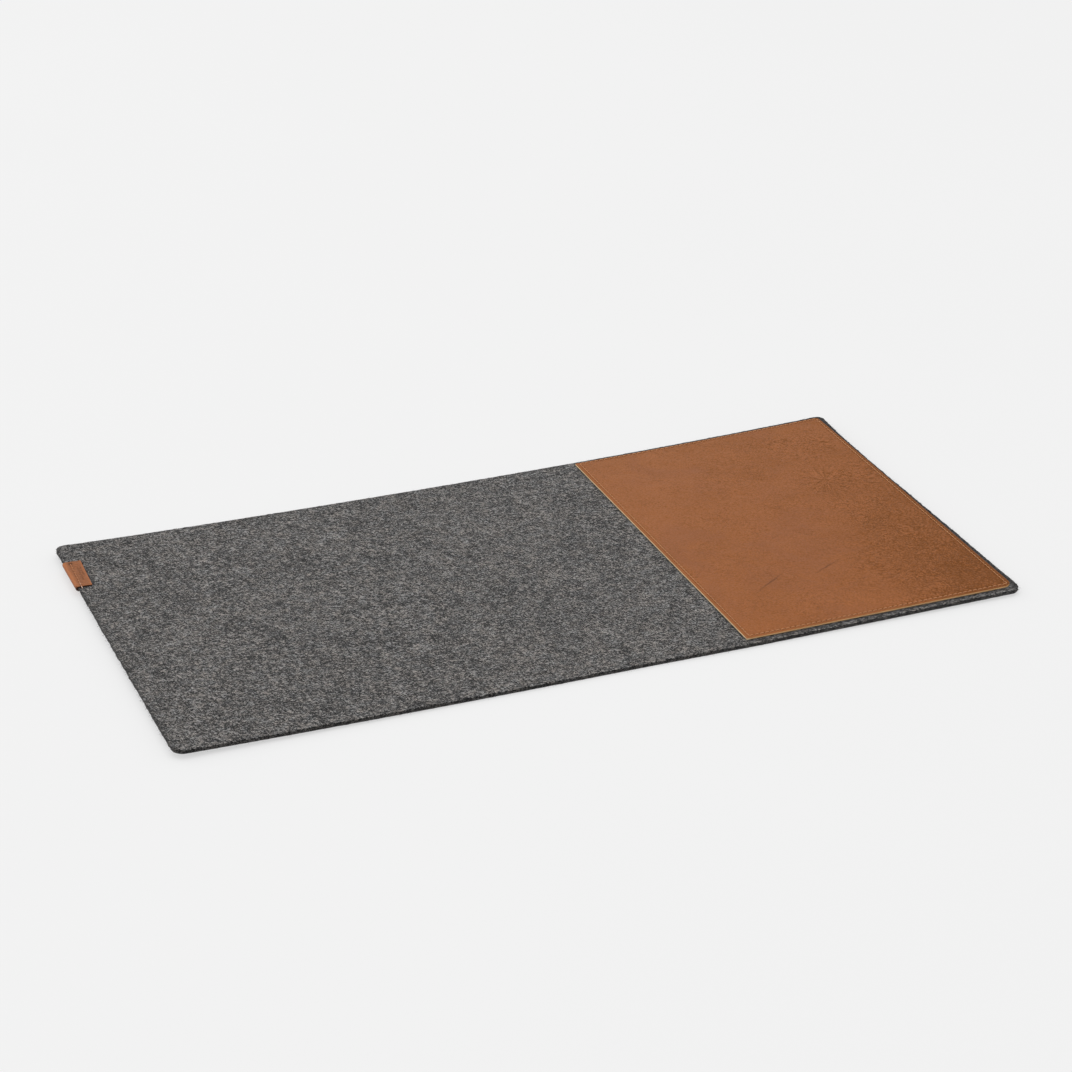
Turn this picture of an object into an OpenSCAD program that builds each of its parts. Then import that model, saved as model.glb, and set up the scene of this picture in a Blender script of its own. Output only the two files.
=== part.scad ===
// Desk mat: a felt sheet with a leather panel sewn on its right-hand third
// and a small leather tag folded over its left edge.
// Origin at the centre of the felt's underside, +X to the leather side,
// +Y to the back, +Z up.

/* [Felt mat] */
// Length of the felt sheet, left to right
mat_length = 600; // [450:10:900]
// Depth of the felt sheet, front to back
mat_depth = 300; // [250:10:450]
// Thickness of the felt
felt_thickness = 3; // [2.8:0.1:5]
// Radius of the felt's corners
corner_radius = 8; // [6:0.5:15]

/* [Leather panel] */
// Length of the leather panel, left to right
panel_length = 203; // [120:1:240]
// Thickness of the leather panel
panel_thickness = 1.5; // [1.2:0.1:2]
// Felt left bare beside the panel's right-hand edge
side_margin = 3; // [2:0.5:6]
// Felt left bare along the panel's back edge
back_margin = 3; // [2:0.5:6]
// Felt left bare along the panel's front edge
front_margin = 4; // [2:0.5:6]

/* [Seams] */
// Distance from the panel's edge to its seam
seam_inset = 3; // [2.5:0.5:6]
// Wanted length of a stitch
stitch_length = 3.9; // [3:0.1:6]
// Diameter of the sewing thread
thread_diameter = 0.6; // [0.4:0.05:0.6]
// Diameter of the needle's holes
needle_hole = 0.9; // [0.8:0.1:1.2]

/* [Tag] */
// Length of the tag along the mat's edge
tag_length = 38; // [25:1:60]
// How far each flap of the tag reaches, from its fold
tag_reach = 13; // [10:1:25]
// Thickness of the tag's leather
tag_thickness = 1.2; // [0.8:0.1:1.2]
// Distance from the mat's back edge to the tag
tag_from_back = 28; // [20:1:120]
// Thickness of the felt where the tag's seam squeezes it
nipped_felt = 1.6; // [1.2:0.1:1.6]
// Distance from the tag's fold to its seam
tag_seam_inset = 5; // [4:0.5:6]
// Distance from the tag's back end to its first needle hole
tag_seam_margin = 3; // [2:0.5:5]
// Wanted length of a stitch in the tag
tag_stitch_length = 4.1; // [3:0.1:6]

/* [Hidden] */
$fn = 48;

through = 1;                              // how far a cutter runs past a face
gap = 0.05;                               // clearance around the thread

// The panel's four sides, on top of the felt.
panel_right = mat_length / 2 - side_margin;
panel_left = panel_right - panel_length;
panel_front = -mat_depth / 2 + front_margin;
panel_back = mat_depth / 2 - back_margin;
panel_corner = corner_radius - side_margin;
panel_top = felt_thickness + panel_thickness;

// The panel's seam: a rectangle with a needle hole at each corner.
seam_x = [panel_left + seam_inset, panel_right - seam_inset];
seam_y = [panel_front + seam_inset, panel_back - seam_inset];
seam_span = [seam_x[1] - seam_x[0], seam_y[1] - seam_y[0]];
seam_count = [for (span = seam_span) round(span / stitch_length)];
seam_pitch = [for (i = [0:1]) seam_span[i] / seam_count[i]];

// Thread and the channel that it lies in, half sunk on top and wholly sunk below.
thread_radius = thread_diameter / 2;
channel_width = thread_diameter + 2 * gap;
bobbin_depth = thread_diameter + gap;
elbow_radius = thread_radius + gap;
lock_height = felt_thickness / 2;         // where the two threads lock

// The tag: a strip folded round the felt's left edge.
tag_fold_outer = nipped_felt / 2 + tag_thickness;
tag_bottom_gap = gap;
tag_axis_z = tag_bottom_gap + tag_fold_outer;
tag_top = tag_axis_z + tag_fold_outer;
tag_fold_x = -mat_length / 2;
tag_flap = tag_reach - tag_fold_outer;
tag_back = mat_depth / 2 - tag_from_back;
tag_front = tag_back - tag_length;
nip_low = tag_axis_z - nipped_felt / 2;
nip_high = tag_axis_z + nipped_felt / 2;

// The tag's seam starts inside its back end and leaves its front end by one stitch.
tag_seam_x = tag_fold_x - tag_fold_outer + tag_seam_inset;
tag_seam_start = tag_back - tag_seam_margin;
tag_seam_on = tag_seam_start - tag_front;
tag_on_count = floor(tag_seam_on / tag_stitch_length);
tag_pitch = tag_seam_on / (tag_on_count + 0.5);
tag_holes = [for (i = [0:tag_on_count + 1]) tag_seam_start - i * tag_pitch];

// Corners and needle holes of the panel's seam, stitch by stitch, anticlockwise.
// Each side is [start, direction, number of stitches, pitch, angle].
seam_sides = [
    [[seam_x[0], seam_y[0]], [1, 0], seam_count[0], seam_pitch[0], 0],
    [[seam_x[1], seam_y[0]], [0, 1], seam_count[1], seam_pitch[1], 90],
    [[seam_x[1], seam_y[1]], [-1, 0], seam_count[0], seam_pitch[0], 180],
    [[seam_x[0], seam_y[1]], [0, -1], seam_count[1], seam_pitch[1], 270]
];

module block(low, high) {
    translate(low) cube(high - low);
}

// A rectangle whose left-hand and right-hand corners each have their own radius.
module sheet_outline(low, high, left_radius, right_radius) {
    corners = [
        [low, 0, left_radius],
        [[high[0], low[1]], 90, right_radius],
        [high, 180, right_radius],
        [[low[0], high[1]], 270, left_radius]
    ];
    difference() {
        translate(low) square(high - low);
        for (corner = corners)
            if (corner[2] > 0) translate(corner[0]) rotate(corner[1]) corner_waste(corner[2]);
    }
}

// What is cut away outside a quarter circle at the corner of a sheet.
module corner_waste(radius) {
    difference() {
        translate([-through, -through]) square(radius + through);
        translate([radius, radius]) circle(radius);
    }
}

// A frame-shaped channel along the panel's seam.
module seam_channel(low_z, high_z) {
    half = channel_width / 2;
    low = [seam_x[0], seam_y[0]];
    high = [seam_x[1], seam_y[1]];
    translate([0, 0, low_z]) linear_extrude(high_z - low_z) difference() {
        translate(low - [half, half]) square(seam_span + [channel_width, channel_width]);
        translate(low + [half, half]) square(seam_span - [channel_width, channel_width]);
    }
}

// The needle holes along the panel's seam.
module seam_holes(low_z, high_z) {
    for (side = seam_sides, i = [0:side[2] - 1])
        translate([for (k = [0:1]) side[0][k] + i * side[3] * side[1][k]])
            translate([0, 0, low_z]) cylinder(d = needle_hole, h = high_z - low_z);
}

// The needle holes along the tag's seam.
module tag_seam_holes(low_z, high_z) {
    for (y = tag_holes)
        translate([tag_seam_x, y, low_z]) cylinder(d = needle_hole, h = high_z - low_z);
}

// The thread's turn at a needle hole: an elbow off a bar along +X at height 0,
// and a leg of the given length, measured from the bar's axis, down the hole.
module stitch_leg(leg) {
    translate([elbow_radius, 0, -elbow_radius]) rotate([90, 0, 0]) rotate([0, 0, 90])
        rotate_extrude(angle = 90) translate([elbow_radius, 0]) circle(thread_radius);
    translate([0, 0, -leg]) cylinder(r = thread_radius, h = leg - elbow_radius);
}

// One stitch along +X: a leg down its own needle hole and a bar that ends, rounded,
// at the edge of the next stitch's hole.
module stitch(pitch, leg) {
    straight = pitch - elbow_radius - needle_hole / 2 - gap - thread_radius;
    stitch_leg(leg);
    translate([elbow_radius, 0, 0]) rotate([0, 90, 0]) rotate_extrude() {
        square([thread_radius, straight]);
        translate([0, straight]) intersection() {
            circle(thread_radius);
            square(thread_radius);
        }
    }
}

// A stitch with a leg at each end, where a seam stops.
module last_stitch(pitch, leg) {
    for (end = [0, 1])
        translate([end * pitch, 0, 0]) rotate([0, 0, end * 180]) stitch_leg(leg);
    translate([elbow_radius, 0, 0]) rotate([0, 90, 0])
        cylinder(r = thread_radius, h = pitch - 2 * elbow_radius);
}

// Every stitch of the panel's seam, with its legs downwards.
module seam_stitches(leg) {
    for (side = seam_sides, i = [0:side[2] - 1])
        translate([for (k = [0:1]) side[0][k] + i * side[3] * side[1][k]])
            rotate([0, 0, side[4]]) stitch(side[3], leg);
}

// Every stitch of the tag's seam, from its back hole to the front, where the last one
// runs off the tag.
module tag_stitches(leg) {
    for (i = [0:tag_on_count])
        translate([tag_seam_x, tag_holes[i], 0]) rotate([0, 0, -90])
            if (i < tag_on_count) stitch(tag_pitch, leg);
            else last_stitch(tag_pitch, leg);
}

module felt_mat() {
    half = [mat_length / 2, mat_depth / 2];
    flap_end = tag_fold_x + tag_flap;
    color([0.36, 0.355, 0.345]) difference() {
        linear_extrude(felt_thickness) sheet_outline(-half, half, corner_radius, corner_radius);
        // The seam's needle holes, and the thread's channel underneath.
        seam_holes(-through, felt_thickness + through);
        seam_channel(-through, bobbin_depth);
        // The felt squeezed thin between the tag's flaps.
        block([tag_fold_x - through, tag_front - gap, -through], [flap_end + gap, tag_back + gap, nip_low]);
        block([tag_fold_x - through, tag_front - gap, nip_high],
              [flap_end + gap, tag_back + gap, felt_thickness + through]);
        tag_seam_holes(-through, felt_thickness + through);
        // The bobbin thread's channel where the last stitch runs off the tag.
        block([tag_seam_x - channel_width / 2, tag_holes[tag_on_count + 1], -through],
              [tag_seam_x + channel_width / 2, tag_front, bobbin_depth]);
    }
}

module leather_panel() {
    color([0.60, 0.36, 0.20]) difference() {
        translate([0, 0, felt_thickness]) linear_extrude(panel_thickness)
            sheet_outline([panel_left, panel_front], [panel_right, panel_back], 0, panel_corner);
        seam_channel(panel_top - thread_radius, panel_top + through);
        seam_holes(felt_thickness - through, panel_top + through);
    }
}

module panel_needle_thread() {
    color([0.74, 0.50, 0.31]) translate([0, 0, panel_top]) seam_stitches(panel_top - lock_height);
}

module panel_bobbin_thread() {
    bar_z = gap + thread_radius;
    color([0.74, 0.50, 0.31]) translate([0, 0, bar_z]) mirror([0, 0, 1])
        seam_stitches(lock_height - bar_z);
}

module leather_tag() {
    color([0.62, 0.36, 0.20]) difference() {
        translate([0, tag_front, 0]) union() {
            translate([tag_fold_x, tag_length, tag_axis_z]) rotate([90, 0, 0])
                linear_extrude(tag_length) intersection() {
                    difference() {
                        circle(tag_fold_outer);
                        circle(nipped_felt / 2);
                    }
                    translate([-2 * tag_fold_outer, -2 * tag_fold_outer])
                        square([2 * tag_fold_outer, 4 * tag_fold_outer]);
                }
            for (z = [tag_bottom_gap, nip_high])
                translate([tag_fold_x, 0, z]) cube([tag_flap, tag_length, tag_thickness]);
        }
        tag_seam_holes(-through, tag_top + through);
        for (z = [[-through, bobbin_depth], [tag_top - thread_radius, tag_top + through]])
            block([tag_seam_x - channel_width / 2, tag_front - through, z[0]],
                  [tag_seam_x + channel_width / 2, tag_seam_start, z[1]]);
    }
}

module tag_needle_thread() {
    color([0.78, 0.56, 0.38]) translate([0, 0, tag_top]) tag_stitches(tag_top - tag_axis_z);
}

module tag_bobbin_thread() {
    bar_z = gap + thread_radius;
    color([0.78, 0.56, 0.38]) translate([0, 0, bar_z]) mirror([0, 0, 1])
        tag_stitches(tag_axis_z - bar_z);
}

felt_mat();
leather_panel();
panel_needle_thread();
panel_bobbin_thread();
leather_tag();
tag_needle_thread();
tag_bobbin_thread();
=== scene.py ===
"""A grey felt desk mat with a tan leather panel sewn on its right-hand third and a small
leather tag folded over its left edge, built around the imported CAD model. Metres, +Z up."""

import math

import bpy
import numpy as np
from mathutils import Matrix, Vector


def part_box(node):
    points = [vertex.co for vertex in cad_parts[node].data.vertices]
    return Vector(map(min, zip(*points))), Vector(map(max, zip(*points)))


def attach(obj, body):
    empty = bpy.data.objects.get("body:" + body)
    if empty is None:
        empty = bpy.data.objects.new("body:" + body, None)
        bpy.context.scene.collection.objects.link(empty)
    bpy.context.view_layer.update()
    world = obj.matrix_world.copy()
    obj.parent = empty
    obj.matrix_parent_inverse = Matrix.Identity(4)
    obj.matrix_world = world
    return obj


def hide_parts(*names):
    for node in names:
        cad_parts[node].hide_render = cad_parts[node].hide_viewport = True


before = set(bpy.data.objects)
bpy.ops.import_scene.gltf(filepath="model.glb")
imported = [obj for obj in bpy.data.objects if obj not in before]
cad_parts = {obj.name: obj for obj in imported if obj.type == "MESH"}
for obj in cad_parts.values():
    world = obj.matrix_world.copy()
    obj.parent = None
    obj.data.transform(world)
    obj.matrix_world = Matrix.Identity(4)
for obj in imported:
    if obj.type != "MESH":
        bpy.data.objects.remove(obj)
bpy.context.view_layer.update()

MM = 0.001
rng = np.random.default_rng(7)


# ---------- sizes from the CAD parts

def box(node):
    """The lowest and highest corners of a CAD node, as arrays."""
    low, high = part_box(node)
    return np.array(low), np.array(high)


FELT = box("felt_mat")
PANEL = box("leather_panel")
PANEL_THREAD = box("panel_needle_thread")
BOBBIN = box("panel_bobbin_thread")
TAG = box("leather_tag")
TAG_THREAD = box("tag_needle_thread")

THREAD_RADIUS = 0.3 * MM
FELT_TOP = FELT[1][2]
PANEL_TOP = PANEL[1][2]
FELT_CORNER = 8 * MM
PANEL_CORNER = FELT_CORNER - (FELT[1][0] - PANEL[1][0])
SQUARE_CORNER = 0.4 * MM  # the panel's left corners are cut square

# The seam's centre line is inside the thread's box by the thread's radius.
SEAM_LOW = PANEL_THREAD[0][:2] + THREAD_RADIUS
SEAM_HIGH = PANEL_THREAD[1][:2] - THREAD_RADIUS
STITCH = 3.9 * MM
STITCHES = np.round((SEAM_HIGH - SEAM_LOW) / STITCH).astype(int)
PITCH = (SEAM_HIGH - SEAM_LOW) / STITCHES

# The mat was rolled for storage, so its ends still lift a little, the right-hand end
# most at the back.
END_CURL = 3.2 * MM
BACK_RIGHT_CURL = 0.84 * MM
BACK_LEFT_CURL = 0.6 * MM

# The felt isn't a true rectangle. Its ends are wider at the corners than between them,
# its front edge stands further out beside the leather, its back corners are sharper.
CORNER_PULL = 1.75 * MM
SIDE_BOW = 2.1 * MM
FRONT_PULL = 1.2 * MM
BACK_CORNER = 6.4 * MM

# Nor is the leather. Its back edge is cut closer to its seam, and so is its right edge
# towards the back. Its front right corner is rounder.
TRIM_BACK = 1.4 * MM
TRIM_RIGHT = 0.7 * MM
PANEL_FRONT_CORNER = 6.4 * MM

# Each wall's profile, from the edge of the top to the edge of the underside: how many
# millimetres inside the outline, and how far down from 0 at the top to 1 at the underside.
FELT_WALL = ((0.45, 0), (0.16, 0.035), (0.02, 0.16), (0, 0.4), (0.02, 0.65), (0.04, 0.88), (0.45, 1))
PANEL_WALL = ((0.22, 0), (0.07, 0.05), (0, 0.17), (0, 0.5), (0.02, 0.85), (0.16, 1))
TAG_WALL = ((0.20, 0), (0.06, 0.06), (0, 0.2), (0, 0.55), (0.05, 0.9), (0.20, 1))


def lie(x, y):
    """How far the mat lifts off the desk at x, y."""
    u = x / FELT[1][0]
    v = y / FELT[1][1]
    back_left = np.clip(-u, 0, 1) ** 8 * np.clip(v, 0, 1) ** 2
    return END_CURL * u**2 + BACK_RIGHT_CURL * v * u**2 * (1 + u) + BACK_LEFT_CURL * back_left


def stretched(points):
    """The felt's points moved from the CAD's rectangle to its own uneven outline."""
    points = np.array(points)
    u = points[:, 0] / FELT[1][0]
    v = points[:, 1] / FELT[1][1]
    right = np.clip(u, 0, 1) ** 3 * (CORNER_PULL * v**4 - SIDE_BOW * v * (1 - v**2))
    left = np.clip(-u, 0, 1) ** 6 * 0.45 * CORNER_PULL * np.clip(v, 0, 1) ** 6
    points[:, 0] += right - left
    points[:, 1] -= FRONT_PULL * smooth(0.05, 0.35, u) * np.clip(-v, 0, 1) ** 3
    return points


# ---------- shapes by formula

def ripple(x, y, wavelength, seed, waves=14):
    """Smooth noise of about unit size: a sum of plane waves with random directions."""
    r = np.random.default_rng(seed)
    total = np.zeros(np.broadcast(x, y).shape)
    for _ in range(waves):
        angle, phase = r.uniform(0, 2 * math.pi, 2)
        k = 2 * math.pi / (wavelength * r.uniform(0.7, 1.6))
        total = total + np.cos(k * (x * math.cos(angle) + y * math.sin(angle)) + phase)
    return total / math.sqrt(waves / 2)


def smooth(low, high, value):
    """Smoothstep of value from low to high."""
    t = np.clip((value - low) / (high - low), 0, 1)
    return t * t * (3 - 2 * t)


def bell(distance, width):
    """1 at no distance, falling smoothly to 0 a few widths away."""
    return np.exp(-((distance / width) ** 2))


def rectangle_depth(x, y, low, high):
    """How far inside a rectangle a point is; negative outside."""
    inside_x = np.minimum(x - low[0], high[0] - x)
    inside_y = np.minimum(y - low[1], high[1] - y)
    return np.minimum(inside_x, inside_y)


def to_seam(x, y):
    """Distance to the panel's seam."""
    return np.abs(rectangle_depth(x, y, SEAM_LOW, SEAM_HIGH))


def spaced(low, high, values, gap):
    """Sorted lines from low to high, leaving out those closer than a gap to the last."""
    kept = [low]
    for value in sorted(values):
        if value - kept[-1] >= gap and high - value >= gap:
            kept.append(value)
    return np.array([*kept, high])


def lines(low, high, step, fine=()):
    """Grid lines from low to high about a step apart, with finer ones where asked."""
    even = np.linspace(low, high, max(2, round((high - low) / step) + 1))
    clear = [e for e in even if all(abs(e - f) > 0.55 * step for f in fine)]
    return spaced(low, high, [*fine, *clear], 0.12 * MM)


def padded_lines(values, coarse):
    """Splits the widest gaps until the lines make whole coarse cells."""
    values = list(values)
    while (len(values) - 1) % coarse:
        widest = int(np.argmax(np.diff(values)))
        values.insert(widest + 1, (values[widest] + values[widest + 1]) / 2)
    return np.array(values)


def near(values, offsets):
    """Every value with every offset added."""
    return [v + o for v in values for o in offsets]


def round_corners(grid, low, high, radii):
    """A grid of x and y with its corners bent into arcs. radii are those of the front-left,
    front-right, back-right and back-left corners."""
    grid = grid.copy()
    for side, radius in zip(((-1, -1), (1, -1), (1, 1), (-1, 1)), radii):
        if radius <= 0:
            continue
        side = np.array(side)
        centre = np.where(side > 0, high - radius, low + radius)[:, None, None]
        reach = radius * side[:, None, None]
        share = (grid - centre) / reach
        here = (share > 0).all(0)
        bent = share * np.sqrt(np.clip(1 - share[::-1] ** 2 / 2, 0, 1))
        grid[:, here] = (centre + reach * bent)[:, here]
    return grid


def rim_of(grid):
    """A grid's outermost values, anticlockwise from its front-left corner."""
    return np.concatenate([grid[:-1, 0], grid[-1, :-1], grid[:0:-1, -1], grid[0, :0:-1]])


def unit(vectors):
    """Rows made one long."""
    return vectors / np.linalg.norm(vectors, axis=1, keepdims=True)


def outward(x, y):
    """Unit normals of a closed anticlockwise outline, pointing out of it, and a little
    longer at its corners so that a mitre keeps its width."""
    ahead = unit(np.stack([np.roll(x, -1) - x, np.roll(y, -1) - y], 1))
    along = unit(ahead + np.roll(ahead, 1, axis=0))
    mitre = 1 / np.maximum(0.5, (along * ahead).sum(1))
    return np.stack([along[:, 1], -along[:, 0]], 1) * mitre[:, None]


def columns(*grids):
    """Grids laid out as the columns of one table."""
    return np.stack([grid.ravel() for grid in grids], 1)


def grid_faces(number):
    """Upward faces of a grid of point numbers; those of its transpose are downward."""
    return columns(number[:-1, :-1], number[1:, :-1], number[1:, 1:], number[:-1, 1:]).tolist()


def tube_faces(rings, sides):
    """Outward faces of a closed tube whose rings run anticlockwise seen from its end."""
    side = np.arange(sides)
    a = np.arange(rings - 1)[:, None] * sides + side
    b = a + np.roll(side, -1) - side
    walls = columns(a, b, b + sides, a + sides)
    return [*walls.tolist(), side[::-1].tolist(), ((rings - 1) * sides + side).tolist()]


def closed_sheet(xs, ys, low, high, radii, wall, top, bottom, coarse=1):
    """Points and faces of a closed sheet: a top grid, a wall and an underside.

    xs and ys are the grid's lines from edge to edge of the top, top and bottom are
    functions of x, y, and the underside keeps every coarse-th line. Also returns each
    point's place on the wall, from 0 at the top to 1 at the underside."""
    rim = wall[0][0] * MM
    grid = np.stack(np.meshgrid(xs, ys, indexing="ij"))
    x, y = round_corners(grid, low + rim, high - rim, [max(0, r - rim) for r in radii])
    number = np.arange(x.size).reshape(x.shape)
    points = [columns(x, y, top(x, y))]
    place = [np.zeros(x.size)]
    faces = grid_faces(number)

    edge_x = rim_of(x)
    edge_y = rim_of(y)
    edge_top = top(edge_x, edge_y)
    edge_bottom = bottom(edge_x, edge_y)
    out = outward(edge_x, edge_y)
    above = rim_of(number)
    count = x.size
    for inset, down in wall[1:-1]:
        row = count + np.arange(len(above))
        row_x = edge_x + out[:, 0] * (rim - inset * MM)
        row_y = edge_y + out[:, 1] * (rim - inset * MM)
        points.append(columns(row_x, row_y, edge_top + (edge_bottom - edge_top) * down))
        place.append(np.full(len(row), down))
        faces += columns(above, row, np.roll(row, -1), np.roll(above, -1)).tolist()
        above = row
        count += len(row)

    under_x = x[::coarse, ::coarse]
    under_y = y[::coarse, ::coarse]
    number = count + np.arange(under_x.size).reshape(under_x.shape)
    points.append(columns(under_x, under_y, bottom(under_x, under_y)))
    place.append(np.ones(under_x.size))
    faces += grid_faces(number.T)
    below = rim_of(number).tolist()
    above = above.tolist()
    above.append(above[0])
    for k, corner in enumerate(below):
        upper = above[k * coarse:(k + 1) * coarse + 1]
        faces.append([*upper[::-1], corner, below[(k + 1) % len(below)]])
    return np.concatenate(points), faces, np.concatenate(place)


def joined(parts):
    """Several (points, faces, value at each point) as one, with the faces renumbered."""
    points, faces, values = zip(*parts)
    shifts = np.cumsum([0, *map(len, points)])
    faces = [[i + int(shift) for i in face] for some, shift in zip(faces, shifts) for face in some]
    return np.concatenate(points), faces, np.concatenate(values)


def add_object(name, data):
    """A new object in the scene."""
    thing = bpy.data.objects.new(name, data)
    bpy.context.scene.collection.objects.link(thing)
    return thing


def make_piece(name, points, faces):
    """A mesh object from points and faces, laid as the mat lies."""
    points = np.array(points, float)
    points[:, 2] += lie(points[:, 0], points[:, 1])
    mesh = bpy.data.meshes.new(name)
    mesh.from_pydata(points.tolist(), [], faces)
    mesh.validate()
    mesh.update()
    mesh.polygons.foreach_set("use_smooth", [True] * len(mesh.polygons))
    return add_object(name, mesh)


def paint(piece, **layers):
    """Numbers at each point, which the piece's material reads by these names."""
    for name, values in layers.items():
        layer = piece.data.attributes.new(name, "FLOAT", "POINT")
        layer.data.foreach_set("value", np.asarray(values, np.float32))


def finish_piece(piece, material, node):
    """Gives a piece its material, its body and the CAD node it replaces."""
    piece.data.materials.append(material)
    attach(piece, "root")
    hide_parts(node)


# ---------- material helpers

class Nodes:
    """Short calls for building a material's node tree."""

    def __init__(self, name):
        self.material = bpy.data.materials.new(name)
        self.material.use_nodes = True
        self.tree = self.material.node_tree
        self.shader = self.tree.nodes["Principled BSDF"]
        self.place = self.add("ShaderNodeTexCoord").outputs["Object"]

    def add(self, kind, inputs=None, **settings):
        """A new node with its settings, and its inputs linked or set."""
        node = self.tree.nodes.new(kind)
        for key, value in settings.items():
            setattr(node, key, value)
        for key, value in (inputs or {}).items():
            self.put(node.inputs[key], value)
        return node

    def put(self, socket, value):
        """Links a socket, or sets its value."""
        if isinstance(value, bpy.types.NodeSocket):
            self.tree.links.new(value, socket)
        elif isinstance(value, tuple) and len(value) == 3 and socket.type == "RGBA":
            socket.default_value = (*value, 1)
        else:
            socket.default_value = value

    def surface(self, inputs):
        """Links or sets the shader's own inputs."""
        for key, value in inputs.items():
            self.put(self.shader.inputs[key], value)

    def attribute(self, name):
        """The numbers painted on the piece under this name."""
        return self.add("ShaderNodeAttribute", attribute_name=name).outputs["Fac"]

    def maths(self, operation, *values, clamp=False):
        node = self.add("ShaderNodeMath", operation=operation, use_clamp=clamp)
        for socket, value in zip(node.inputs, values):
            self.put(socket, value)
        return node.outputs[0]

    def times(self, first, second):
        return self.maths("MULTIPLY", first, second)

    def minus(self, first, second):
        return self.maths("SUBTRACT", first, second)

    def total(self, first, *others):
        """The sum of several values."""
        for other in others:
            first = self.maths("ADD", first, other)
        return first

    def most(self, first, *others):
        """The largest of several values."""
        for other in others:
            first = self.maths("MAXIMUM", first, other)
        return first

    def remap(self, value, low, high, to_low=0.0, to_high=1.0, smoothed=False):
        node = self.add("ShaderNodeMapRange", {0: value, 1: low, 2: high, 3: to_low, 4: to_high})
        if smoothed:
            node.interpolation_type = "SMOOTHSTEP"
        return node.outputs[0]

    def swing(self, noise, low=0.0, high=1.0):
        """A noise's usual range turned into another."""
        return self.remap(noise, 0.3, 0.7, low, high)

    def level_lines(self, noise, width, on=1.0, off=0.0):
        """Soft lines along which a noise is at its middle level."""
        away = self.maths("ABSOLUTE", self.minus(noise, 0.5))
        return self.remap(away, 0.0, width, on, off, smoothed=True)

    def noise(self, scale, detail=2.0, roughness=0.5, distortion=0.0, place=None):
        inputs = {"Vector": place or self.place, "Scale": scale, "Detail": detail}
        inputs |= {"Roughness": roughness, "Distortion": distortion}
        return self.add("ShaderNodeTexNoise", inputs).outputs["Fac"]

    def warped(self, scale, reach):
        """The place, pushed about by a slow noise."""
        push = self.add("ShaderNodeTexNoise", {"Vector": self.place, "Scale": scale, "Detail": 1.0})
        inputs = {0: push.outputs["Color"], 1: (reach, reach, 0.0), 2: self.place}
        return self.add("ShaderNodeVectorMath", inputs, operation="MULTIPLY_ADD").outputs[0]

    def turned(self, angle, scale, shift=(0.0, 0.0, 0.0), place=None):
        """The place, turned about Z and stretched, for patterns with a direction."""
        inputs = {"Vector": place or self.place, "Rotation": (0.0, 0.0, math.radians(angle))}
        turn = self.add("ShaderNodeMapping", inputs).outputs[0]
        inputs = {"Vector": turn, "Scale": scale, "Location": shift}
        return self.add("ShaderNodeMapping", inputs).outputs[0]

    def drawn_out(self, angles, along, across, start, step, **noise):
        """A noise for each angle, drawn out in that direction. Each is taken from a place
        of its own, a step on from the last, so that no two are alike."""
        layers = []
        for index, angle in enumerate(angles):
            shift = tuple(a + index * b for a, b in zip(start, step))
            place = self.turned(angle, (1 / along, 1 / across, 1 / across), shift)
            layers.append(self.noise(1.0, place=place, **noise))
        return layers

    def mix(self, factor, first, second, blend="MIX"):
        node = self.add("ShaderNodeMix", data_type="RGBA", blend_type=blend)
        self.put(node.inputs[0], factor)
        self.put(node.inputs[6], first)
        self.put(node.inputs[7], second)
        return node.outputs[2]

    def bump(self, height, distance, strength, normal=None):
        inputs = {"Height": height, "Distance": distance, "Strength": strength}
        if normal is not None:
            inputs["Normal"] = normal
        return self.add("ShaderNodeBump", inputs).outputs[0]


# ---------- felt material

FELT_GREYS = (  # from the gaps between the fibres to the lightest fibres
    (0.0, (0.004, 0.004, 0.005)),
    (0.35, (0.025, 0.025, 0.025)),
    (0.6, (0.076, 0.074, 0.0715)),
    (1.0, (0.337, 0.329, 0.314)),
)


def felt_colour(n, shade):
    """Greys by shade, warmer or cooler in places, darker on its cut walls (partly painted shade), near
    its edges, and where shadow is painted.
    """
    ramp = n.add("ShaderNodeValToRGB", {"Fac": shade})
    elements = ramp.color_ramp.elements
    for position, _ in FELT_GREYS[1:-1]:
        elements.new(position)
    for element, (_, grey) in zip(elements, FELT_GREYS):
        element.color = (*grey, 1)
    warmth = n.remap(n.noise(170.0, roughness=0.6), 0.35, 0.65)
    tint = n.mix(warmth, (0.975, 0.985, 1.015), (1.065, 0.992, 0.950))
    colour = n.mix(1.0, ramp.outputs[0], tint, blend="MULTIPLY")
    # darker on the cut walls: partly the cut felt's own darker grey, partly painted shade; also painted
    # shadow on the strip beyond the leather's right edge
    colour = n.mix(n.attribute("cut"), colour, (0.28, 0.27, 0.27), blend="MULTIPLY")
    # painted shadow beside the leather, the tag and beyond the leather, and darker near the felt's edges
    return n.mix(n.attribute("worn"), colour, (0.33, 0.33, 0.35), blend="MULTIPLY")


def felt_curls(n, thin, *where):
    """The strongest of several layers of thin curly fibres."""
    layers = n.drawn_out(*where, detail=1.0, distortion=0.9)
    return n.most(*(n.level_lines(layer, thin) for layer in layers))


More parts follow.
